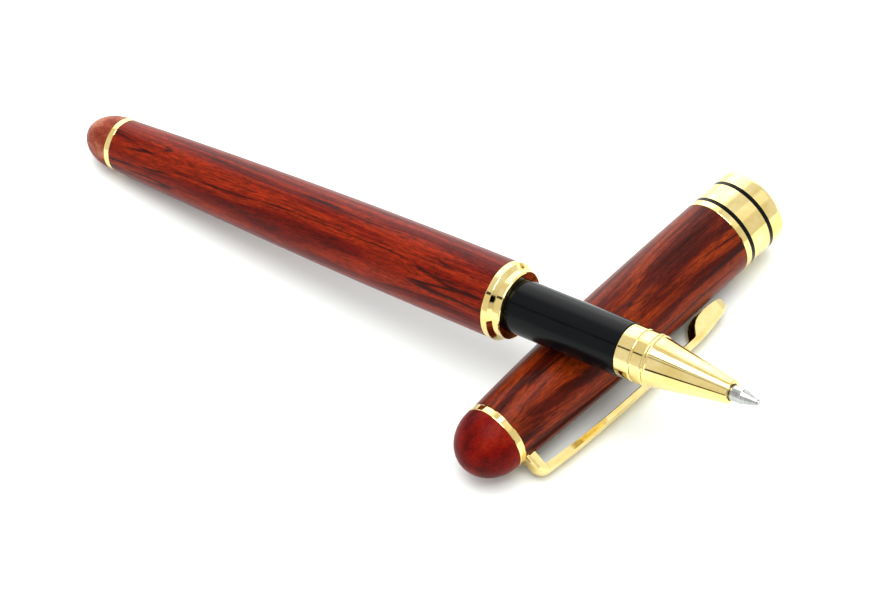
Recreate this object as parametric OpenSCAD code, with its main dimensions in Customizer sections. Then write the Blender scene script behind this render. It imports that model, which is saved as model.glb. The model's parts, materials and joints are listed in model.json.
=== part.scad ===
// Rollerball pen, uncapped and resting across its own cap.
// Every piece is one module; the pen and the cap each have a local frame whose +Z is their axis.
// Radii grow outwards from the refill: each wall and clearance is named, so what fits keeps fitting.

/* [Pen barrel] */

// length of the wooden barrel between the tail ring and the coupling flange
barrel_length = 72.9; // [60:0.1:88]
// wall of wood at the tail, outside the brass lining
tail_wood = 0.48; // [0.3:0.01:1.2]
// how far the coupling flange stands above the front of the barrel
flange_proud = 0.08; // [0:0.01:0.2]
// width of the thin metal ring at the tail
tail_ring_w = 1.0; // [0.6:0.05:1.8]
// how far the rings stand above the wood beside them
ring_proud = 0.04; // [0:0.01:0.15]
// length of the rounded wooden tail piece
tail_dome_length = 6.3; // [4.8:0.1:8]
// wall of the brass tube lining the barrel
liner_wall = 0.37; // [0.3:0.01:0.5]
// air between the refill and the brass lining
liner_room = 0.35; // [0.2:0.01:0.5]
// depth of the tail plug inside the barrel
plug_depth = 1.6; // [1:0.1:3]
// radius of the stub that holds the tail piece
stub_r = 1.7; // [1.2:0.05:2.2]
// length of the stub that holds the tail piece
stub_length = 3.5; // [2.5:0.1:4.5]

/* [Coupling] */

// width of the front flange of the coupling
flange_w = 1.1; // [0.8:0.05:1.6]
// height of the front flange above the stepped ring
flange_height = 0.77; // [0.5:0.01:1.2]
// axial length of the bevel in front of the flange
bevel_w = 0.4; // [0.25:0.05:0.8]
// length of the stepped ring in front of the bevel
step_w = 1.25; // [0.8:0.05:2]
// height of the stepped ring above the grip
step_height = 1.13; // [0.9:0.01:1.6]
// length of the coupling shank hidden in the barrel
shank_length = 9.2; // [7:0.1:12]
// wall of the coupling shank hidden in the barrel
shank_wall = 0.88; // [0.6:0.01:1.1]

/* [Grip and nose] */

// length of the black grip from the coupling to the nose cone
grip_length = 19.0; // [14:0.1:24]
// wall of the grip outside the nose tenon
grip_wall = 0.53; // [0.4:0.01:0.8]
// how much slimmer the grip is at the nose than at the coupling
grip_draft = 0.01; // [0:0.01:0.2]
// air round the refill in its passage
refill_gap = 0.12; // [0.06:0.01:0.2]
// length of the threaded spigot behind the grip
spigot_length = 8; // [5:0.1:9]
// wall of the threaded spigot behind the grip
spigot_wall = 0.54; // [0.4:0.01:0.8]
// depth of the thread on the spigot
thread_depth = 0.16; // [0.1:0.01:0.25]
// pitch of the thread on the spigot
thread_pitch = 0.8; // [0.6:0.05:1.2]
// clearance of the spigot in the coupling
thread_gap = 0.06; // [0.03:0.01:0.1]
// length of the straight band at the rear of the nose
nose_band_w = 5.0; // [3.5:0.1:7]
// how far the nose band lies below the grip
nose_inset = 0.11; // [0:0.01:0.3]
// width of the two round grooves turned in the nose band
nose_groove_w = 0.52; // [0.3:0.01:0.7]
// depth of the two round grooves turned in the nose band
nose_groove_depth = 0.14; // [0.08:0.01:0.2]
// length of the tapered part of the nose
nose_taper_length = 12.5; // [10:0.1:16]
// wall of the nose at its mouth
nose_lip_wall = 0.5; // [0.35:0.01:0.8]
// clearance of the nozzle in the nose mouth
nozzle_gap = 0.15; // [0.08:0.01:0.25]
// length of the tenon that screws into the grip
nose_tenon_length = 5; // [3.5:0.1:8]
// wall of the tenon that screws into the grip
tenon_wall = 0.4; // [0.3:0.01:0.6]
// clearance of the tenon in the grip
tenon_gap = 0.05; // [0.03:0.01:0.1]

/* [Refill] */

// outer radius of the refill tube
refill_r = 3.0; // [2.5:0.01:3.6]
// wall of the refill tube
refill_wall = 0.4; // [0.3:0.05:0.6]
// how far the writing ball stands in front of the nose mouth
tip_out = 4.6; // [3.4:0.1:6]
// radius of the steel nozzle
nozzle_r = 1.15; // [0.95:0.01:1.4]
// length of the pointed end of the nozzle
nozzle_point = 2.5; // [1.8:0.1:3]
// radius of the writing ball
ball_r = 0.35; // [0.25:0.01:0.42]
// clearance round the writing ball
ball_gap = 0.02; // [0.01:0.005:0.03]
// room between the refill's end and the tail plug
spring_bay = 4.35; // [3:0.05:7]
// how far the refill can be pressed back
refill_travel = 0.8; // [0.5:0.05:1.2]
// wire diameter of the refill spring
spring_wire = 0.45; // [0.3:0.05:0.5]
// turns of the refill spring
spring_turns = 3.5; // [2:0.5:5]

/* [Cap] */

// spare length in the cap between the clip bush and the nib sleeve
cap_spare = 6.09; // [3:0.01:14]
// room in front of the writing ball when the pen is capped
nib_room = 3.0; // [1.5:0.1:5]
// thickness of the nib sleeve's floor
sleeve_floor = 1.2; // [0.8:0.1:2]
// clearance of the cap mouth round the coupling step
mouth_gap = 0.08; // [0.05:0.01:0.15]
// wall of the cap at its mouth
mouth_wall = 0.94; // [0.7:0.01:1.4]
// how much fuller the cap's belly is than its mouth
belly_swell = 0.05; // [0:0.01:0.4]
// where the belly lies along the cap tube, as a share of its length
cap_belly_at = 0.66; // [0.5:0.01:0.8]
// wall of wood at the crown ring, outside the brass lining
crown_wood = 0.25; // [0.15:0.01:0.8]
// width of the thin crown ring
crown_ring_w = 1.23; // [0.8:0.01:2]
// length of the rounded wooden finial
cap_dome_length = 6.2; // [4.8:0.1:8]
// clearance of the nib sleeve round the grip
sleeve_gap = 0.1; // [0.05:0.01:0.2]
// wall of the nib sleeve
sleeve_wall = 0.57; // [0.4:0.01:0.6]
// wall of the brass tube lining the cap
cap_liner_wall = 0.35; // [0.25:0.01:0.4]
// length of the brass bush at the crown
bush_length = 3.37; // [2.6:0.01:5]
// radius of the screw that holds the finial
screw_r = 1.25; // [0.9:0.05:1.6]
// how far the screw goes into the finial
screw_in = 3.3; // [2.5:0.1:4]

/* [Mouth band] */

// width of the thin bead beside the wood
bead_w = 1.07; // [0.7:0.01:1.6]
// width of each black inlaid ring
inlay_w = 0.71; // [0.4:0.01:1]
// depth of each black inlaid ring
inlay_depth = 0.3; // [0.15:0.01:0.4]
// width of the wide polished band
band_w = 3.42; // [2.5:0.01:5]
// width of the rounded lip
lip_w = 2.8; // [2.2:0.01:4]
// rounding radius of the lip
lip_round = 0.75; // [0.4:0.01:0.85]

/* [Clip] */

// width of the clip
clip_w = 3.45; // [2.6:0.01:4.2]
// sheet thickness of the clip
clip_sheet = 0.4; // [0.3:0.01:0.5]
// rise of the rounded outer face of the clip
clip_crown = 0.56; // [0.3:0.01:0.9]
// how far the clip's free end stays short of the mouth band
clip_short = 6.7; // [2:0.1:14]
// height of the clip's outer face above the crown ring
clip_rise = 4.61; // [4.2:0.01:5.6]
// depth of the folded sides
clip_side = 1.16; // [1.1:0.01:1.8]
// length of the leaf-shaped lobes at the free end
lobe_length = 7.9; // [6:0.1:10]
// depth of the leaf-shaped lobes at the free end
lobe_depth = 3.2; // [2.2:0.01:3.25]
// thickness of the clip's tab
tab_sheet = 0.5; // [0.4:0.05:0.7]
// how deep the clip's tab reaches into the crown
tab_depth = 1.92; // [1.4:0.01:2.2]
// clearance round the clip's tab in its slot
tab_gap = 0.15; // [0.12:0.01:0.25]

/* [Resting arrangement] */

// tilt of the cap as it lies
cap_tilt = 1.2; // [0.6:0.05:1.6]
// angle between the pen and the cap seen from above
cross_angle = 81.5; // [60:0.5:120]
// where the grip crosses, measured from the coupling flange along the pen
cross_on_pen = 10; // [7:0.1:14]
// where the grip crosses, measured from the crown ring along the cap
cross_on_cap = 16.5; // [10:0.1:24]
// air left between pieces that only rest on each other
rest_gap = 0.02; // [0.01:0.01:0.1]

/* [Hidden] */

$fn = 96;

gold = [0.93, 0.76, 0.36];
rosewood = [0.42, 0.1, 0.05];
black = [0.03, 0.03, 0.035];
brass = [0.78, 0.62, 0.3];
steel = [0.75, 0.76, 0.78];

// radii of the pen, from the refill outwards
refill_bore_r = refill_r + refill_gap;
tenon_r = refill_bore_r + tenon_wall;
counter_r = tenon_r + tenon_gap;
grip_rear_r = counter_r + grip_wall;
grip_front_r = grip_rear_r - grip_draft;
nose_band_r = grip_front_r - nose_inset;
spigot_r = refill_bore_r + spigot_wall;
coupling_bore_r = spigot_r + thread_gap;
step_r = grip_rear_r + step_height;
flange_r = step_r + flange_height;
shank_r = coupling_bore_r + shank_wall;
barrel_front_r = flange_r - flange_proud;
liner_r = refill_r + liner_room + liner_wall;
barrel_tail_r = liner_r + tail_wood;
nose_hole_r = nozzle_r + nozzle_gap;
nose_mouth_r = nose_hole_r + nose_lip_wall;

// radii of the cap, round the grip and the coupling step
mouth_bore_r = step_r + mouth_gap;
sleeve_bore_r = grip_rear_r + sleeve_gap;
sleeve_r = sleeve_bore_r + sleeve_wall;
cap_liner_r = sleeve_r + cap_liner_wall;
cap_mouth_r = mouth_bore_r + mouth_wall;
cap_belly_r = cap_mouth_r + belly_swell;
cap_crown_r = cap_liner_r + crown_wood;

// stations along the pen, measured from the rear edge of the coupling flange
z_front = flange_w + bevel_w + step_w;
z_nose = z_front + grip_length;
z_cone = z_nose + nose_band_w;
z_mouth = z_cone + nose_taper_length;
z_ball = z_mouth + tip_out;
z_ring = -barrel_length;
z_dome = z_ring - tail_ring_w;
plug_face = z_ring + plug_depth;
z_refill_end = plug_face + spring_bay;
z_shoulder = z_cone + 1.3;
z_ball_middle = z_ball - ball_r;
plug_step = 0.9;
spring_r = 2.1;

// stations along the cap, measured from the finial side of the crown ring
c_tube = crown_ring_w;
bush_top = c_tube + bush_length;
c_floor = bush_top + cap_spare;
c_end = c_floor + sleeve_floor + nib_room + z_ball - flange_w;
c_lip = c_end - lip_w;
c_inlay2 = c_lip - inlay_w;
c_wide = c_inlay2 - band_w;
c_inlay1 = c_wide - inlay_w;
c_band = c_inlay1 - bead_w;
cap_tube_length = c_band - c_tube;
liner_end = c_lip - 0.9;

function barrel_r(u) = barrel_tail_r + (barrel_front_r - barrel_tail_r) * (1 - pow(1 - u, 2));
function cap_r(v) = cap_belly_r
  - (cap_belly_r - cap_crown_r) * pow(max(0, (cap_belly_at - v) / cap_belly_at), 2)
  - (cap_belly_r - cap_mouth_r) * pow(max(0, (v - cap_belly_at) / (1 - cap_belly_at)), 2);
barrel_steps = 14;
cap_steps = 14;
barrel_line = [for (i = [0:barrel_steps])
  [barrel_r(i / barrel_steps), z_ring + barrel_length * i / barrel_steps]];
cap_line = [for (i = [0:cap_steps]) [cap_r(i / cap_steps), c_tube + cap_tube_length * i / cap_steps]];
function dome_line(r, len, n) = [for (i = [0:n]) [r * cos(90 * i / n), -len * sin(90 * i / n)]];

// where things lie
cap_low = min([for (p = cap_line) p[1] * sin(cap_tilt) - p[0] * cos(cap_tilt)]);
cap_z = -cap_low;
cap_dir = [cos(cap_tilt), 0, sin(cap_tilt)];
cross_cap_r = cap_r((cross_on_cap - c_tube) / cap_tube_length);
cross_grip_r = grip_rear_r + (grip_front_r - grip_rear_r) * (cross_on_pen - z_front) / grip_length;
pen_turn = -cross_angle;
function pen_dir_at(t) = [cos(t) * cos(pen_turn), cos(t) * sin(pen_turn), sin(t)];
function touch_at(t) = let (n = cross(pen_dir_at(t), cap_dir))
  n / norm(n) * (cross_cap_r + cross_grip_r + rest_gap);
function tail_low(t) = norm([barrel_tail_r * cos(t), tail_dome_length * sin(t)]);
function next_tilt(t) = asin((cap_z + cross_on_cap * sin(cap_tilt) + touch_at(t)[2] - tail_low(t))
  / (cross_on_pen - z_dome));
pen_tilt = next_tilt(next_tilt(next_tilt(next_tilt(8))));
pen_dir = pen_dir_at(pen_tilt);
pen_at = [0, 0, cap_z] + cap_dir * cross_on_cap + touch_at(pen_tilt) - pen_dir * cross_on_pen;

// the origin is under the middle of the whole
cap_far = (c_end - lip_round) * cos(cap_tilt)
  + (cap_mouth_r + ring_proud - lip_round) * sin(cap_tilt) + lip_round;
cap_near = -norm([cap_dome_length * cos(cap_tilt), cap_crown_r * sin(cap_tilt)]);
pen_far = pen_at[1] + pen_dir[1] * z_dome
  + norm([tail_dome_length * pen_dir[1], barrel_tail_r * sqrt(1 - pow(pen_dir[1], 2))]);
pen_near = pen_at[1] + pen_dir[1] * z_ball_middle - ball_r;
middle_x = (cap_far + cap_near) / 2;
middle_y = (pen_far + pen_near) / 2;

module place_pen() {
  translate([-middle_x, -middle_y, 0])
    translate(pen_at)
      rotate([0, 90 - pen_tilt, pen_turn])
        children();
}

module place_cap() {
  translate([-middle_x, -middle_y, cap_z])
    rotate([0, 90 - cap_tilt, 0])
      children();
}

module tube(r_out, r_in, z0, z1) {
  rotate_extrude()
    polygon([[r_in, z0], [r_out, z0], [r_out, z1], [r_in, z1]]);
}

// ---------- pen ----------

module tail_dome() {
  color(rosewood)
    place_pen()
      translate([0, 0, z_dome])
        difference() {
          rotate_extrude()
            polygon(concat([[0, 0]], dome_line(barrel_tail_r, tail_dome_length, 16)));
          translate([0, 0, -stub_length - 0.1])
            cylinder(r = stub_r, h = stub_length + 0.5);
        }
}

module tail_ring() {
  r = barrel_tail_r + ring_proud;
  color(gold)
    place_pen()
      translate([0, 0, z_dome])
        rotate_extrude()
          polygon([[stub_r, 0], [r - 0.12, 0], [r - 0.03, 0.04], [r, 0.14], [r, tail_ring_w - 0.14],
            [r - 0.03, tail_ring_w - 0.04], [r - 0.12, tail_ring_w], [stub_r, tail_ring_w]]);
}

module tail_plug() {
  color(brass)
    place_pen()
      rotate_extrude()
        polygon([[0, z_dome - stub_length], [stub_r - 0.2, z_dome - stub_length],
          [stub_r, z_dome - stub_length + 0.3], [stub_r, z_ring],
          [liner_r, z_ring], [liner_r, plug_face], [0, plug_face]]);
}

module barrel() {
  color(rosewood)
    place_pen()
      rotate_extrude()
        polygon(concat([[liner_r, z_ring]], barrel_line,
          [[shank_r, 0], [shank_r, -shank_length], [liner_r, -shank_length]]));
}

module barrel_liner() {
  color(brass)
    place_pen()
      tube(liner_r, liner_r - liner_wall, plug_face, -shank_length);
}

module coupling() {
  f = flange_r;
  color(gold)
    place_pen()
      rotate_extrude()
        polygon([[coupling_bore_r, -shank_length], [shank_r, -shank_length], [shank_r, 0],
          [f - 0.12, 0], [f - 0.03, 0.05], [f, 0.16], [f, flange_w - 0.16], [f - 0.03, flange_w - 0.05],
          [f - 0.1, flange_w], [step_r + 0.12, flange_w + bevel_w], [step_r, flange_w + bevel_w + 0.1],
          [step_r, z_front - 0.2], [step_r - 0.06, z_front - 0.06], [step_r - 0.2, z_front],
          [coupling_bore_r, z_front]]);
}

module grip_section() {
  root_r = spigot_r - thread_depth;
  z0 = z_front - spigot_length;
  count = floor((spigot_length - 2) / thread_pitch);
  thread = [for (i = [0:count - 1]) each [
    [root_r, z0 + 0.5 + thread_pitch * i], [spigot_r, z0 + 0.5 + thread_pitch * (i + 0.31)],
    [spigot_r, z0 + 0.5 + thread_pitch * (i + 0.5)], [root_r, z0 + 0.5 + thread_pitch * (i + 0.81)]]];
  g = grip_rear_r;
  h = grip_front_r;
  color(black)
    place_pen()
      rotate_extrude()
        polygon(concat([[refill_bore_r, z0], [root_r, z0]], thread,
          [[spigot_r, z_front - 1], [spigot_r, z_front], [g - 0.12, z_front], [g, z_front + 0.12],
          [g, z_front + 0.4], [h, z_nose - 0.5], [h, z_nose - 0.08], [h - 0.08, z_nose],
          [counter_r, z_nose], [counter_r, z_nose - nose_tenon_length - 0.1],
          [refill_bore_r, z_nose - nose_tenon_length - 0.1]]));
}

module nose_cone() {
  r = nose_band_r;
  d = nose_groove_depth;
  w = nose_groove_w;
  g1 = z_nose + nose_band_w * 0.46;
  g2 = z_cone - w - 0.16;
  function groove(z) = [for (i = [0:8]) [r - d * sin(180 * i / 8), z + w * i / 8]];
  color(gold)
    place_pen()
      rotate_extrude()
        polygon(concat([[refill_bore_r, z_nose - nose_tenon_length], [tenon_r, z_nose - nose_tenon_length],
          [tenon_r, z_nose], [r - 0.1, z_nose], [r - 0.02, z_nose + 0.05], [r, z_nose + 0.14]],
          groove(g1), groove(g2), [[r, z_cone - 0.06],
          [r - 0.06, z_cone + 0.06], [r - 0.22, z_cone + 0.16], [r - 0.27, z_cone + 0.45],
          [nose_mouth_r, z_mouth - 0.12], [nose_mouth_r - 0.05, z_mouth - 0.02],
          [nose_mouth_r - 0.14, z_mouth], [nose_hole_r, z_mouth], [nose_hole_r, z_mouth - 2.5],
          [nose_hole_r + 0.48, z_mouth - 3.4], [refill_bore_r - 0.4, z_shoulder],
          [refill_bore_r, z_shoulder]]));
}

module refill_tube() {
  color(steel)
    place_pen()
      tube(refill_r, refill_r - refill_wall, z_refill_end + 1.9, z_shoulder - 1.2);
}

module refill_nose() {
  r = refill_r - refill_wall;
  z0 = z_shoulder - 4;
  color(black)
    place_pen()
      rotate_extrude()
        polygon([[0.75, z0], [r, z0], [r, z_shoulder - 1.2], [refill_r, z_shoulder - 1.2],
          [refill_r, z_shoulder - 0.02], [refill_r - 0.5, z_shoulder - 0.02],
          [nozzle_r + 0.35, z_mouth - 3.8], [nozzle_r, z_mouth - 3.6],
          [nozzle_r, z_mouth - 6.5], [0.75, z_mouth - 6.5]]);
}

module refill_nozzle() {
  seat = ball_r + ball_gap;
  z0 = z_ball_middle + seat * 0.22;
  color(steel)
    place_pen()
      difference() {
        rotate_extrude()
          polygon([[0, z_mouth - 6.5], [nozzle_r, z_mouth - 6.5], [nozzle_r, z_ball - nozzle_point - 0.35],
            [nozzle_r - 0.08, z_ball - nozzle_point - 0.1], [ball_r + 0.14, z0 - 0.16], [ball_r + 0.04, z0],
            [0, z0]]);
        translate([0, 0, z_ball_middle])
          sphere(r = seat);
        translate([0, 0, z_mouth - 7])
          cylinder(r = ball_r * 0.85, h = z_ball_middle - z_mouth + 6.8);
      }
}

module writing_ball() {
  color(steel)
    place_pen()
      translate([0, 0, z_ball_middle])
        sphere(r = ball_r, $fn = 48);
}

module ink_reservoir() {
  color([0.08, 0.08, 0.3])
    place_pen()
      translate([0, 0, z_refill_end + 4.4])
        cylinder(r = refill_r - refill_wall - 0.05, h = z_shoulder - 4 - z_refill_end - 4.4);
}

module refill_plug() {
  r = refill_r - refill_wall;
  color(black)
    place_pen()
      rotate_extrude()
        polygon([[0, z_refill_end], [1.3, z_refill_end], [1.5, z_refill_end + 0.2],
          [1.5, z_refill_end + plug_step], [refill_r, z_refill_end + plug_step],
          [refill_r, z_refill_end + 1.9],
          [r, z_refill_end + 1.9], [r, z_refill_end + 4.4], [0, z_refill_end + 4.4]]);
}

spring_length = spring_bay + plug_step - refill_travel - 0.12;
spring_sides = 8;
spring_rings = floor(spring_turns * 16);
function spring_pt(i, k) = let (
    t = i / spring_rings,
    a = 360 * spring_turns * t,
    rise = spring_length - spring_wire,
    b = 360 * k / spring_sides,
    q = spring_r + spring_wire / 2 * cos(b))
  [q * cos(a), q * sin(a), -spring_length + spring_wire / 2 + rise * t + spring_wire / 2 * sin(b)];

module refill_spring() {
  n = spring_sides;
  m = spring_rings;
  pts = [for (i = [0:m]) for (k = [0:n - 1]) spring_pt(i, k)];
  quads = [for (i = [0:m - 1]) for (k = [0:n - 1])
    [i * n + k, i * n + (k + 1) % n, (i + 1) * n + (k + 1) % n, (i + 1) * n + k]];
  sides = [for (q = quads) each [[q[0], q[2], q[1]], [q[0], q[3], q[2]]]];
  ends = [[for (k = [0:n - 1]) k], [for (k = [n - 1:-1:0]) m * n + k]];
  color(steel)
    place_pen()
      translate([0, 0, z_refill_end + plug_step - 0.02])
        polyhedron(points = pts, faces = concat(sides, ends), convexity = 8);
}

// ---------- cap ----------

module cap_finial() {
  color(rosewood)
    place_cap()
      difference() {
        rotate_extrude()
          polygon(concat([[0, 0]], dome_line(cap_crown_r - 0.02, cap_dome_length, 18)));
        translate([0, 0, -screw_in - 0.1])
          cylinder(r = screw_r, h = screw_in + 0.5);
      }
}

module crown_ring() {
  r = cap_crown_r + ring_proud;
  w = crown_ring_w;
  color(gold)
    place_cap()
      rotate_extrude()
        polygon([[2.3, 0], [r - 0.12, 0], [r - 0.03, 0.04], [r, 0.14], [r, w - 0.14],
          [r - 0.03, w - 0.04], [r - 0.12, w], [2.3, w]]);
}

slot_w = clip_w + tab_gap * 2;
slot_top = c_tube + 1.95;
slot_floor = cap_crown_r - tab_depth - tab_gap;

module cap_tube() {
  color(rosewood)
    place_cap()
      difference() {
        rotate_extrude()
          polygon(concat([[cap_liner_r, c_tube]], cap_line, [[cap_liner_r, c_band]]));
        rotate([0, 0, clip_turn - 180])
          translate([slot_floor - 0.3, -slot_w / 2, c_tube - 1])
            cube([4, slot_w, slot_top - c_tube + 1]);
      }
}

module cap_liner() {
  color(brass)
    place_cap()
      tube(cap_liner_r, cap_liner_r - cap_liner_wall, bush_top, liner_end);
}

module clip_bush() {
  color(brass)
    place_cap()
      difference() {
        rotate_extrude()
          polygon([[screw_r, c_tube], [cap_liner_r, c_tube], [cap_liner_r, bush_top], [screw_r, bush_top]]);
        rotate([0, 0, clip_turn - 180])
          translate([slot_floor, -slot_w / 2, c_tube - 1])
            cube([4, slot_w, slot_top - c_tube + 1]);
      }
}

module finial_screw() {
  color(steel)
    place_cap()
      difference() {
        rotate_extrude()
          polygon([[0, -screw_in], [screw_r - 0.2, -screw_in], [screw_r, 0.3 - screw_in],
            [screw_r, bush_top], [2.2, bush_top],
            [2.2, bush_top + 1.0], [1.9, bush_top + 1.3], [0, bush_top + 1.3]]);
        translate([-3, -0.25, bush_top + 0.7])
          cube([6, 0.5, 1]);
      }
}

module nib_sleeve() {
  z0 = c_floor;
  inside = c_floor + sleeve_floor;
  color(black)
    place_cap()
      rotate_extrude()
        polygon([[0, z0], [sleeve_r, z0], [sleeve_r, liner_end - 1.2],
          [sleeve_bore_r + 0.3, liner_end - 1.2], [sleeve_bore_r, liner_end - 2.4],
          [sleeve_bore_r, inside + 5.3], [nozzle_r + 1.45, inside + 3.8], [nozzle_r + 1.45, inside],
          [0, inside]]);
}

module mouth_band() {
  r = cap_mouth_r + ring_proud;
  d = inlay_depth;
  rr = lip_round;
  lip = [for (i = [0:8]) [r - rr + rr * cos(90 * i / 8), c_end - rr + rr * sin(90 * i / 8)]];
  color(gold)
    place_cap()
      rotate_extrude()
        polygon(concat([[cap_liner_r, c_band], [r - 0.12, c_band], [r - 0.03, c_band + 0.04],
          [r, c_band + 0.14], [r, c_inlay1], [r - d, c_inlay1], [r - d, c_wide], [r, c_wide],
          [r, c_inlay2], [r - d, c_inlay2], [r - d, c_lip], [r, c_lip]], lip,
          [[mouth_bore_r + 0.1, c_end], [mouth_bore_r, c_end - 0.1], [mouth_bore_r, liner_end],
          [cap_liner_r, liner_end]]));
}

module inlay(z) {
  r = cap_mouth_r + ring_proud;
  color(black)
    place_cap()
      tube(r - 0.05, r - inlay_depth, z, z + inlay_w);
}

module inner_inlay_ring() {
  inlay(c_inlay1);
}

module outer_inlay_ring() {
  inlay(c_inlay2);
}

// the clip: an outer line with a folded section swept along it, as [along the cap, out from it]
reach = c_band - clip_short;
top = cap_crown_r + clip_rise;
bend_r = 1.9;
root_s = c_tube + 0.08;
bend_turn = 78;
arc_n = 8;
arc_line = [for (i = [0:arc_n]) [root_s + bend_r * (1 - cos(bend_turn * i / arc_n)),
  top - 2.7 + bend_r * sin(bend_turn * i / arc_n)]];
arc_end = arc_line[arc_n];
lobe_from = reach - lobe_length;
run_n = 12;
run_len = lobe_from - arc_end[0];
run_line = [for (i = [1:run_n]) let (t = i / run_n)
  [arc_end[0] + run_len * t, arc_end[1] + (top - arc_end[1]) * (1 - pow(1 - t, 4))]];
// the lobe: stations as shares of its length, fall of the crest, share of its full depth
lobe_at = [0.05, 0.1, 0.17, 0.27, 0.38, 0.5, 0.62, 0.74, 0.85, 0.93, 0.98, 1];
lobe_fall = [0, 0.02, 0.05, 0.11, 0.2, 0.31, 0.46, 0.62, 0.8, 0.98, 1.14, 1.3];
lobe_share = [0.05, 0.3, 0.62, 0.86, 0.97, 1, 0.98, 0.9, 0.77, 0.6, 0.4, 0.1];
lobe_n = len(lobe_at);
lobe_line = [for (i = [0:lobe_n - 1]) [lobe_from + lobe_length * lobe_at[i], top - lobe_fall[i]]];
root_line = [[root_s, cap_crown_r - 0.12], [root_s, cap_crown_r + 0.83]];
clip_line = concat(root_line, arc_line, run_line, lobe_line);
clip_n = len(clip_line);
leg_n = len(root_line) + arc_n + 1;
tail_n = leg_n + run_n;
function bend_extra(i) = 0.35 * (i < leg_n ? 1 : pow(1 - (i - leg_n) / run_n, 3));
function lobe_side(j) = clip_side + (lobe_depth - lobe_fall[j] * 0.55 - clip_side) * lobe_share[j];
function side_depth(i) = i < tail_n
  ? (i < len(root_line) ? 1.55 : clip_side + bend_extra(i))
  : lobe_side(i - tail_n) - (i == clip_n - 1 ? 0.6 : 0);
function tip_w(i) = i < clip_n - 5 ? 1 : [0.98, 0.95, 0.88, 0.76, 0.6][i - clip_n + 5];
function line_dir(i) = let (
    a = clip_line[max(0, i - 1)],
    b = clip_line[min(clip_n - 1, i + 1)],
    v = i == 0 ? [0, 1] : (i >= tail_n - 1 ? [1, 0] : b - a))
  v / norm(v);
// the cap has rolled until the clip's edge lies on the table
function axis_height(s) = (cap_z + s * sin(cap_tilt) - rest_gap) / cos(cap_tilt);
function edge_turn(i) = let (
    edge = [clip_line[i][1] - clip_crown, clip_w / 2])
  acos(-axis_height(clip_line[i][0]) / norm(edge)) - atan(edge[1] / edge[0]);
clip_turn = min([for (i = [leg_n:tail_n]) edge_turn(i)]);
across_n = 10;
function arch(f) = (1 - sqrt(1 - 0.92 * f * f)) / (1 - sqrt(0.08));
function clip_section(i) = let (
    p = clip_line[i],
    d = line_dir(i),
    n = [d[1], -d[0]],
    w = clip_w / 2 * tip_w(i),
    wi = w - clip_sheet,
    outer = [for (k = [0:across_n]) let (f = -1 + 2 * k / across_n) [w * f, clip_crown * arch(f)]],
    inner = [for (k = [0:across_n]) let (f = -1 + 2 * k / across_n)
      [wi * f, clip_sheet + clip_crown * 0.9 * arch(f)]],
    rim = max(side_depth(i), clip_crown + clip_sheet + 0.1),
    both = concat([[-w, rim]], outer, [[w, rim]], [[-wi, rim]], inner, [[wi, rim]]))
  [for (c = both) [p[1] + n[1] * c[1], c[0], p[0] + n[0] * c[1]]];

module clip_shell() {
  m = across_n + 3;
  n = 2 * m;
  pts = [for (i = [0:clip_n - 1]) each clip_section(i)];
  loop = concat([for (k = [0:m - 1]) k], [for (k = [m - 1:-1:0]) m + k]);
  quads = [for (i = [0:clip_n - 2]) for (k = [0:n - 1])
    [i * n + loop[k], i * n + loop[(k + 1) % n], (i + 1) * n + loop[(k + 1) % n], (i + 1) * n + loop[k]]];
  sides = [for (q = quads) each [[q[0], q[2], q[1]], [q[0], q[3], q[2]]]];
  first = [for (k = [0:m - 2]) [k, k + 1, m + k + 1, m + k]];
  last_at = (clip_n - 1) * n;
  last = [for (k = [0:m - 2]) [last_at + k, last_at + m + k, last_at + m + k + 1, last_at + k + 1]];
  polyhedron(points = pts, faces = concat(sides, first, last), convexity = 8);
}

module clip() {
  color(gold)
    place_cap()
      rotate([0, 0, clip_turn - 180]) {
        clip_shell();
        translate([cap_crown_r - tab_depth, -clip_w / 2 + 0.3, root_s + 0.1])
          cube([tab_depth + 0.68, clip_w - 0.6, tab_sheet]);
      }
}

// ---------- everything ----------

tail_dome();
tail_ring();
tail_plug();
barrel();
barrel_liner();
coupling();
grip_section();
nose_cone();
refill_tube();
refill_nose();
refill_nozzle();
writing_ball();
ink_reservoir();
refill_plug();
refill_spring();
cap_finial();
crown_ring();
cap_tube();
cap_liner();
nib_sleeve();
clip();
clip_bush();
finial_screw();
mouth_band();
inner_inlay_ring();
outer_inlay_ring();
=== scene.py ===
import json
import math

import bpy
from mathutils import Matrix, Vector


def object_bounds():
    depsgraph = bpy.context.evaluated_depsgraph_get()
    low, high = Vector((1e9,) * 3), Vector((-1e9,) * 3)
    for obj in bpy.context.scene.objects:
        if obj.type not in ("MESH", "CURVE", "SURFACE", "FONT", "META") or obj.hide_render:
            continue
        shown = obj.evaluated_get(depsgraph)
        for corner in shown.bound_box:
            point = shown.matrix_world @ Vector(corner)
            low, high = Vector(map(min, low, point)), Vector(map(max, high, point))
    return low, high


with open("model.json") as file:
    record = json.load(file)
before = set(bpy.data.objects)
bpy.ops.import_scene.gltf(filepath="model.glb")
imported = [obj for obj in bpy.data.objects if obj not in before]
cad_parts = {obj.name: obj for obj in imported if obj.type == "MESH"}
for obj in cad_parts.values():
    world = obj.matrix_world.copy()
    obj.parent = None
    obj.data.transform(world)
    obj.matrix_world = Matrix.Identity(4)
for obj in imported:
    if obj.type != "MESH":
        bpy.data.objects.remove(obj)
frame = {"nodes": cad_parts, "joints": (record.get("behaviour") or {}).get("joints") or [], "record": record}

cad_low, cad_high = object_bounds()
middle = (cad_low + cad_high) / 2

MM = 0.001
joints = {joint["name"]: joint for joint in frame["joints"]}
mounts = {mount["name"]: mount for mount in frame["record"]["mounts"]}


# ---------------------------------------------------------------- places

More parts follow.
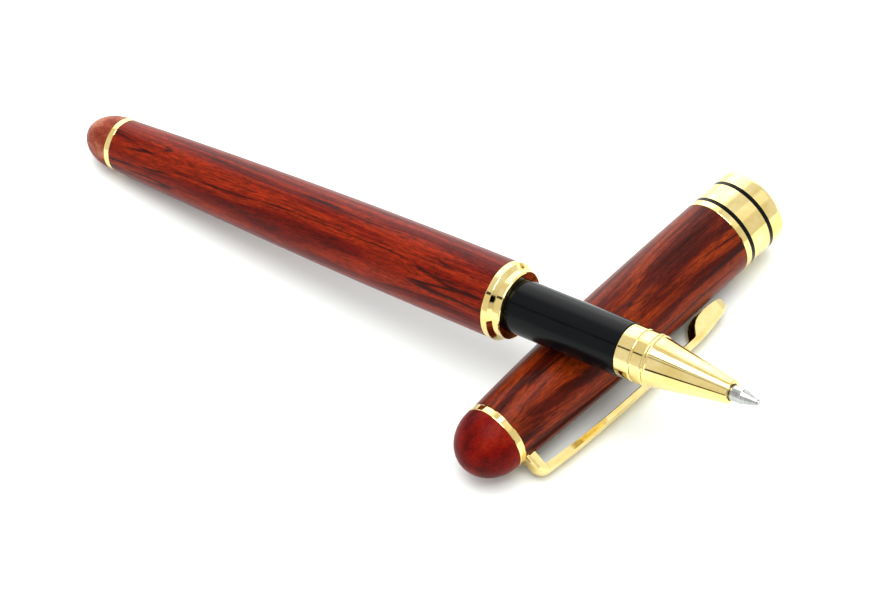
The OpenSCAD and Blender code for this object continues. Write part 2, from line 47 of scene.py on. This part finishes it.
class Lathe:
    """The axis that a turned piece was turned about, with a point on it."""

    def __init__(self, name, point, axis):
        self.name = name
        self.point = Vector(point)
        self.axis = Vector(axis).normalized()

    def to_local(self):
        """Rotation that lays the axis along Z, with one side of the piece facing up."""
        side = Vector((0, 0, 1)).cross(self.axis).normalized()
        up = self.axis.cross(side)
        return Matrix((side, up, self.axis))


def outward(azimuth, elevation):
    """The direction away from the object; azimuth 0 is the -Y side and 90 the +X side."""
    turn, lift = math.radians(azimuth), math.radians(elevation)
    return Vector((math.sin(turn) * math.cos(lift), -math.cos(turn) * math.cos(lift), math.sin(lift)))


PEN = Lathe("pen", joints["grip_unscrew"]["pos_m"], joints["grip_unscrew"]["axis"])
CAP = Lathe("cap", mounts["cap_mouth"]["pos_m"], mounts["cap_mouth"]["axis"])


# ---------------------------------------------------------------- nodes of a material or the studio

def colour(red, green, blue):
    return (red, green, blue, 1)


def plug(tree, value, socket):
    """Links another node's output to the socket, or gives it a plain value."""
    if isinstance(value, bpy.types.NodeSocket):
        tree.links.new(value, socket)
    else:
        socket.default_value = value


def add_node(tree, kind, settings=None, **inputs):
    """A node with its inputs filled. A name such as Input_1 gives an input by its number."""
    node = tree.nodes.new(kind)
    for name, value in (settings or {}).items():
        setattr(node, name, value)
    for name, value in inputs.items():
        numbered = name.startswith("Input_")
        key = int(name.removeprefix("Input_")) if numbered else name.replace("_", " ")
        plug(tree, value, node.inputs[key])
    return node


class Finish:
    """A material built one node at a time. Its patterns are in millimetres along the lathe's own axes."""

    MOST_NOISE = (0.35, 0.65)        # noise seldom goes below the first or above the second

    def __init__(self, name, lathe, **shader):
        self.material = bpy.data.materials.new(f"{name}_{lathe.name}")
        self.material.use_nodes = True
        self.tree = self.material.node_tree
        self.shader = self.tree.nodes["Principled BSDF"]
        for socket, value in shader.items():
            self.shader.inputs[socket.replace("_", " ")].default_value = value
        turn = lathe.to_local()
        place = self.add("ShaderNodeTexCoord").outputs["Object"]
        self.here = self.add(
            "ShaderNodeMapping", Vector=place, Scale=(1 / MM,) * 3,
            Rotation=turn.to_euler(), Location=-(turn @ lathe.point) / MM,
        ).outputs[0]

    def add(self, kind, settings=None, **inputs):
        return add_node(self.tree, kind, settings, **inputs)

    def mapped(self, where, **change):
        """Places changed by a Scale, Rotation or Location."""
        return self.add("ShaderNodeMapping", Vector=where, **change).outputs[0]

    def noise(self, where, scale, detail=3.0, roughness=0.5, shift=0.0):
        """Noise around 0.5; scale is how many times it changes in a millimetre along each axis."""
        stretched = self.mapped(where, Scale=scale, Location=(shift, shift, shift))
        return self.add(
            "ShaderNodeTexNoise", Vector=stretched, Scale=1.0, Detail=detail, Roughness=roughness,
        ).outputs["Fac"]

    def maths(self, operation, first, second=0.0, third=0.0):
        settings = {"operation": operation}
        return self.add("ShaderNodeMath", settings, Input_0=first, Input_1=second, Input_2=third).outputs[0]

    def vector_maths(self, operation, first, second):
        settings = {"operation": operation}
        return self.add("ShaderNodeVectorMath", settings, Input_0=first, Input_1=second).outputs[0]

    def ramp(self, value, *stops):
        """Colours or greys at positions from 0 to 1."""
        node = self.add("ShaderNodeValToRGB", Fac=value)
        elements = node.color_ramp.elements
        while len(elements) < len(stops):
            elements.new(0.5)
        for element, (position, tone) in zip(elements, stops):
            element.position = position
            element.color = tone if isinstance(tone, tuple) else colour(tone, tone, tone)
        return node.outputs["Color"]

    def span(self, value, low, high, to_low=0.0, to_high=1.0):
        """value from low to high becomes to_low to to_high, smoothly and no further."""
        return self.add(
            "ShaderNodeMapRange", {"interpolation_type": "SMOOTHSTEP"}, Value=value,
            From_Min=low, From_Max=high, To_Min=to_low, To_Max=to_high,
        ).outputs[0]

    def spread(self, noise, to_low, to_high):
        """Nearly all of a noise becomes to_low to to_high."""
        return self.span(noise, *self.MOST_NOISE, to_low, to_high)

    def mix(self, share, first, second, blend="MIX"):
        settings = {"data_type": "RGBA", "blend_type": blend}
        return self.add("ShaderNodeMix", settings, Input_0=share, Input_6=first, Input_7=second).outputs[2]

    def warped(self, where, scale, reach):
        """Places pushed sideways by a slow noise, reach millimetres at most."""
        stretched = self.mapped(where, Scale=scale)
        push = self.add("ShaderNodeTexNoise", Vector=stretched, Scale=1.0, Detail=2.0).outputs["Color"]
        centred = self.vector_maths("SUBTRACT", push, (0.5, 0.5, 0.5))
        grown = self.vector_maths("MULTIPLY", centred, (reach * 2, reach * 2, 0))
        return self.vector_maths("ADD", where, grown)

    def feed(self, socket, value):
        self.tree.links.new(value, self.shader.inputs[socket])

    def bump(self, height, depth_mm, strength):
        node = self.add("ShaderNodeBump", Height=height, Distance=depth_mm * MM, Strength=strength)
        self.feed("Normal", node.outputs[0])


# ---------------------------------------------------------------- materials

VEIN_TONE = colour(0.012, 0.002, 0.0015)
PORE_TONE = colour(0.015, 0.003, 0.002)
END_PORE_TONE = colour(0.050, 0.008, 0.005)
OILED = {"Coat_IOR": 1.2, "Specular_IOR_Level": 0.0, "Sheen_Roughness": 0.28}


def rosewood(lathe, deep, warm, ember, cut, drift, shift):
    """Oiled rosewood, whose growth layers are planes turned by cut about the lathe and leaning by drift."""
    wood = Finish("rosewood", lathe, Coat_Weight=0.8, Coat_Roughness=0.28, Sheen_Weight=0.12, **OILED)
    grain = wood.warped(wood.mapped(wood.here, Rotation=(drift, 0, cut)), (0.10, 0.10, 0.030), reach=1.5)

    bands = wood.noise(grain, (0.55, 0.16, 0.014), detail=4.0, roughness=0.55, shift=shift)
    hue = wood.ramp(bands, (0.34, deep), (0.44, warm), (0.52, ember), (0.60, warm), (0.72, deep))
    fibre = wood.noise(grain, (5.0, 4.2, 0.22), detail=5.0, roughness=0.62, shift=shift + 5)
    hue = wood.mix(0.75, hue, wood.ramp(fibre, (0.34, 0.48), (0.5, 0.90), (0.66, 1.28)), "MULTIPLY")
    fleck = wood.noise(grain, (3.2, 3.2, 0.9), detail=4.0, roughness=0.7, shift=shift + 8)
    hue = wood.mix(0.6, hue, wood.ramp(fleck, (0.36, 0.55), (0.52, 1.0), (0.66, 1.45)), "MULTIPLY")

    layer = wood.noise(grain, (0.34, 0.12, 0.010), detail=2.5, roughness=0.45, shift=shift + 11)

    def vein(level, core, edge, strength):
        """A line where the layer noise passes level, full strength within core of it and gone at edge."""
        off = wood.maths("ABSOLUTE", wood.maths("SUBTRACT", layer, level))
        return wood.span(off, core, edge, strength, 0.0)

    first_vein = vein(level=0.50, core=0.002, edge=0.014, strength=1.0)
    second_vein = vein(level=0.43, core=0.001, edge=0.008, strength=0.8)
    broken = wood.noise(grain, (1.3, 1.3, 0.10), detail=4.0, roughness=0.65, shift=shift + 3)
    veins = wood.maths("MAXIMUM", first_vein, second_vein)
    dark = wood.maths("MULTIPLY", veins, wood.span(broken, 0.38, 0.54))
    hue = wood.mix(wood.maths("MULTIPLY", dark, 0.9), hue, VEIN_TONE)

    holes = wood.noise(grain, (7.0, 7.0, 0.55), detail=2.0, roughness=0.5, shift=shift + 17)
    pore = wood.span(holes, 0.59, 0.66)
    hue = wood.mix(wood.maths("MULTIPLY", pore, 0.7), hue, PORE_TONE)

    wood.feed("Base Color", hue)
    wood.feed("Roughness", wood.spread(fibre, 0.55, 0.42))
    wood.bump(wood.maths("SUBTRACT", fibre, pore), depth_mm=0.006, strength=0.5)
    return wood.material


def end_grain(lathe, deep, warm, pale, shift):
    """The same wood turned to a dome, where the cut shows the ends of its fibres as speckles."""
    wood = Finish("rosewood_end", lathe, Coat_Weight=0.5, Coat_Roughness=0.32, Sheen_Weight=0.08, **OILED)
    cloud = wood.noise(wood.here, (0.24, 0.24, 0.14), detail=3.0, roughness=0.55, shift=shift)
    hue = wood.ramp(cloud, (0.34, deep), (0.5, warm), (0.66, pale))
    speckle = wood.noise(wood.here, (3.0, 3.0, 1.4), detail=4.0, roughness=0.65, shift=shift + 7)
    hue = wood.mix(0.7, hue, wood.ramp(speckle, (0.36, 0.55), (0.52, 1.0), (0.68, 1.3)), "MULTIPLY")
    holes = wood.noise(wood.here, (5.0, 5.0, 2.5), detail=2.0, shift=shift + 13)
    pore = wood.span(holes, 0.61, 0.68)
    wood.feed("Base Color", wood.mix(wood.maths("MULTIPLY", pore, 0.5), hue, END_PORE_TONE))
    wood.feed("Roughness", wood.spread(speckle, 0.55, 0.40))
    wood.bump(wood.maths("SUBTRACT", speckle, pore), depth_mm=0.010, strength=0.5)
    return wood.material


def polished_gold(lathe):
    """Gold plate, buffed along the turning, with a slow waviness and a few fine scratches."""
    gold = Finish("polished_gold", lathe, Metallic=1.0)
    rings = gold.noise(gold.here, (0.05, 0.05, 9.0), detail=4.0, roughness=0.6)
    film = gold.noise(gold.here, (0.35, 0.35, 0.25), detail=4.0, roughness=0.6, shift=4)
    deep, pale = colour(0.76, 0.57, 0.20), colour(0.88, 0.72, 0.33)
    gold.feed("Base Color", gold.ramp(film, (0.36, deep), (0.64, pale)))
    buffing = gold.spread(rings, 0.02, 0.07)
    smudges = gold.span(film, 0.4, 0.7, 0.0, 0.05)
    gold.feed("Roughness", gold.maths("ADD", buffing, smudges))
    gold.bump(gold.maths("ADD", rings, film), depth_mm=0.0006, strength=1.0)
    return gold.material


def turned_metal(name, lathe, dull, bright, smooth, rough):
    """Metal as the lathe leaves it, with rings left by the tool."""
    metal = Finish(name, lathe, Metallic=1.0)
    rings = metal.noise(metal.here, (0.08, 0.08, 7.0), detail=5.0, roughness=0.7)
    smear = metal.noise(metal.here, (1.2, 1.2, 0.8), detail=3.0, shift=6)
    tone = metal.maths("MULTIPLY_ADD", rings, 0.6, metal.maths("MULTIPLY", smear, 0.4))
    metal.feed("Base Color", metal.ramp(tone, (0.36, dull), (0.62, bright)))
    metal.feed("Roughness", metal.spread(tone, rough, smooth))
    metal.bump(rings, depth_mm=0.004, strength=0.8)
    return metal.material


def gloss_black(name, lathe, tone, rough):
    """Black resin or enamel, a little blue, with a trace of handling in its gloss."""
    black = Finish(name, lathe, IOR=1.19)
    haze = black.noise(black.here, (0.5, 0.5, 0.08), detail=5.0, roughness=0.65)
    drawn = black.noise(black.here, (2.4, 2.4, 0.05), detail=3.0, roughness=0.6, shift=3)
    dull, bright = colour(tone * 0.7, tone * 0.8, tone), colour(tone, tone * 1.1, tone * 1.3)
    black.feed("Base Color", black.ramp(haze, (0.35, dull), (0.65, bright)))
    handling = black.spread(haze, rough, rough + 0.10)
    wiping = black.span(drawn, 0.4, 0.7, 0.0, 0.06)
    black.feed("Roughness", black.maths("ADD", handling, wiping))
    black.bump(drawn, depth_mm=0.003, strength=0.5)
    return black.material


def moulded_plastic(name, lathe, dull, bright):
    plastic = Finish(name, lathe, Specular_IOR_Level=0.4)
    orange_peel = plastic.noise(plastic.here, (2.0, 2.0, 2.0), detail=4.0)
    plastic.feed("Base Color", plastic.ramp(orange_peel, (0.35, dull), (0.65, bright)))
    plastic.feed("Roughness", plastic.spread(orange_peel, 0.42, 0.58))
    plastic.bump(orange_peel, depth_mm=0.006, strength=0.6)
    return plastic.material


def soaked_fibre(name, lathe):
    """Bundled fibre that holds the ink, paler where it has dried."""
    fibre = Finish(name, lathe, Specular_IOR_Level=0.3)
    strands = fibre.noise(fibre.here, (6.0, 6.0, 0.2), detail=4.0)
    wet, dry = colour(0.006, 0.006, 0.05), colour(0.05, 0.05, 0.16)
    fibre.feed("Base Color", fibre.ramp(strands, (0.35, wet), (0.65, dry)))
    fibre.feed("Roughness", fibre.spread(strands, 0.75, 0.95))
    fibre.bump(strands, depth_mm=0.04, strength=0.8)
    return fibre.material


PEN_WOOD = rosewood(
    PEN, colour(0.058, 0.0026, 0.0008), colour(0.125, 0.0050, 0.0012), colour(0.235, 0.0165, 0.0026),
    cut=0.5, drift=0.05, shift=2.0)
CAP_WOOD = rosewood(
    CAP, colour(0.022, 0.0024, 0.0010), colour(0.080, 0.0062, 0.0016), colour(0.230, 0.0270, 0.0036),
    cut=1.1, drift=-0.03, shift=31.0)
TAIL_WOOD = end_grain(
    PEN, colour(0.140, 0.016, 0.008), colour(0.240, 0.046, 0.022), colour(0.480, 0.200, 0.120), shift=1.0)
FINIAL_WOOD = end_grain(
    CAP, colour(0.065, 0.002, 0.001), colour(0.150, 0.003, 0.001), colour(0.235, 0.012, 0.003), shift=9.0)
PEN_GOLD, CAP_GOLD = polished_gold(PEN), polished_gold(CAP)
PEN_BRASS, CAP_BRASS = (
    turned_metal("turned_brass", lathe, colour(0.52, 0.36, 0.12), colour(0.80, 0.62, 0.28), 0.22, 0.38)
    for lathe in (PEN, CAP))
PEN_STEEL, CAP_STEEL = (
    turned_metal("steel", lathe, colour(0.24, 0.24, 0.23), colour(0.52, 0.52, 0.50), 0.14, 0.26)
    for lathe in (PEN, CAP))
BALL_STEEL = turned_metal("ball", PEN, colour(0.55, 0.55, 0.55), colour(0.80, 0.80, 0.80), 0.08, 0.14)
GRIP_BLACK = gloss_black("black_gloss", PEN, tone=0.003, rough=0.10)
SLEEVE_BLACK = gloss_black("black_gloss", CAP, tone=0.004, rough=0.20)
INLAY_BLACK = gloss_black("black_enamel", CAP, tone=0.002, rough=0.06)
WHITE_PLASTIC = moulded_plastic("refill_plastic", PEN, colour(0.62, 0.62, 0.58), colour(0.78, 0.78, 0.75))
INK_FIBRE = soaked_fibre("ink_fibre", PEN)

FINISHES = {
    "tail_dome": TAIL_WOOD, "tail_ring": PEN_GOLD, "tail_plug": PEN_BRASS, "barrel": PEN_WOOD,
    "barrel_liner": PEN_BRASS, "coupling": PEN_GOLD, "grip_section": GRIP_BLACK, "nose_cone": PEN_GOLD,
    "refill_tube": PEN_STEEL, "refill_nose": WHITE_PLASTIC, "refill_nozzle": PEN_STEEL,
    "writing_ball": BALL_STEEL, "ink_reservoir": INK_FIBRE, "refill_plug": WHITE_PLASTIC,
    "refill_spring": PEN_STEEL,
    "cap_finial": FINIAL_WOOD, "crown_ring": CAP_GOLD, "cap_tube": CAP_WOOD, "cap_liner": CAP_BRASS,
    "nib_sleeve": SLEEVE_BLACK, "clip": CAP_GOLD, "clip_bush": CAP_BRASS, "finial_screw": CAP_STEEL,
    "mouth_band": CAP_GOLD, "inner_inlay_ring": INLAY_BLACK, "outer_inlay_ring": INLAY_BLACK,
}
for part in frame["record"]["subparts"]:
    piece = frame["nodes"][part["node"]]
    piece.data.materials.clear()
    piece.data.materials.append(FINISHES[part["node"]])


# ---------------------------------------------------------------- stage and light

def floor():
    """A wide white table under the object."""
    half = 2.5
    drop = 0.01 * MM
    mesh = bpy.data.meshes.new("floor")
    corners = [(-half, -half), (half, -half), (half, half), (-half, half)]
    mesh.from_pydata([(x, y, cad_low.z - drop) for x, y in corners], [], [(0, 1, 2, 3)])
    table = bpy.data.objects.new("floor", mesh)
    bpy.context.scene.collection.objects.link(table)
    white = bpy.data.materials.new("floor")
    white.use_nodes = True
    shader = white.node_tree.nodes["Principled BSDF"]
    shader.inputs["Base Color"].default_value = colour(0.90, 0.94, 0.92)
    shader.inputs["Roughness"].default_value = 0.9
    shader.inputs["Specular IOR Level"].default_value = 0.1
    mesh.materials.append(white)


def softbox(name, azimuth, elevation, distance, size, energy):
    """A square of light aimed at the object."""
    away = outward(azimuth, elevation)
    light = bpy.data.lights.new(name, "AREA")
    light.shape = "SQUARE"
    light.size = size
    light.energy = energy
    lamp = bpy.data.objects.new(name, light)
    lamp.location = middle + away * distance
    lamp.rotation_mode = "QUATERNION"
    lamp.rotation_quaternion = (-away).to_track_quat("-Z", "Y")
    bpy.context.scene.collection.objects.link(lamp)


def surroundings(base, panels, fade=0.35):
    """A white studio of brightness base, with soft round panels that lighten or darken it.

    Each panel is (azimuth, elevation, half-width in degrees, added brightness). Its edge fades inwards and
    outwards over the share fade of its half-width.
    """
    world = bpy.data.worlds.new("studio")
    bpy.context.scene.world = world
    world.use_nodes = True
    tree = world.node_tree
    background = tree.nodes["Background"]
    background.inputs["Color"].default_value = colour(1, 1, 1)
    direction = add_node(tree, "ShaderNodeTexCoord").outputs["Generated"]
    brightness = base
    for azimuth, elevation, half_width, added in panels:
        facing = add_node(
            tree, "ShaderNodeVectorMath", {"operation": "DOT_PRODUCT"},
            Input_0=direction, Input_1=outward(azimuth, elevation),
        ).outputs["Value"]
        panel = add_node(
            tree, "ShaderNodeMapRange", {"interpolation_type": "SMOOTHSTEP"}, Value=facing,
            From_Min=math.cos(math.radians(half_width * (1 + fade))),
            From_Max=math.cos(math.radians(half_width * (1 - fade))), To_Max=added,
        ).outputs[0]
        both = add_node(tree, "ShaderNodeMath", {"operation": "ADD"}, Input_0=brightness, Input_1=panel)
        brightness = both.outputs[0]
    plug(tree, brightness, background.inputs["Strength"])


floor()
surroundings(base=0.98, panels=[
    (138, 20, 30, 2.0),
    (48, 51, 13, 0.3),
    (-130, 40, 3.5, -0.92),
    (-92, 4, 4.0, -0.92),
    (-108, 55, 3.0, -0.50),
    (-120, 65, 3.0, -0.50),
    (-4, 14, 6, -0.76),
    (-25, 16, 34, -0.22),
])
softbox("key", azimuth=-30, elevation=84, distance=1.0, size=0.8, energy=8.8)
bpy.context.scene.view_settings.view_transform = "Standard"


# ---------------------------------------------------------------- camera

def camera(azimuth, elevation, roll, distance, lens, aim):
    """A long lens looking down at the pen from its tail's side."""
    back = outward(azimuth, elevation)
    lean = math.radians(roll)
    level = Vector((0, 0, 1)).cross(back).normalized()
    upright = back.cross(level)
    right = level * math.cos(lean) - upright * math.sin(lean)
    up = level * math.sin(lean) + upright * math.cos(lean)
    data = bpy.data.cameras.new("camera")
    data.lens = lens
    data.clip_start, data.clip_end = 0.01, 20
    eye = bpy.data.objects.new("camera", data)
    bpy.context.scene.collection.objects.link(eye)
    turned = Matrix((right, up, back)).transposed()
    eye.matrix_world = Matrix.Translation(aim + back * distance) @ turned.to_4x4()
    bpy.context.scene.camera = eye


off_middle = Vector((-13.91, -6.42, -3.22)) * MM
camera(azimuth=-42.711, elevation=51.055, roll=4.621, distance=491.89 * MM, lens=136.97,
       aim=middle + off_middle)
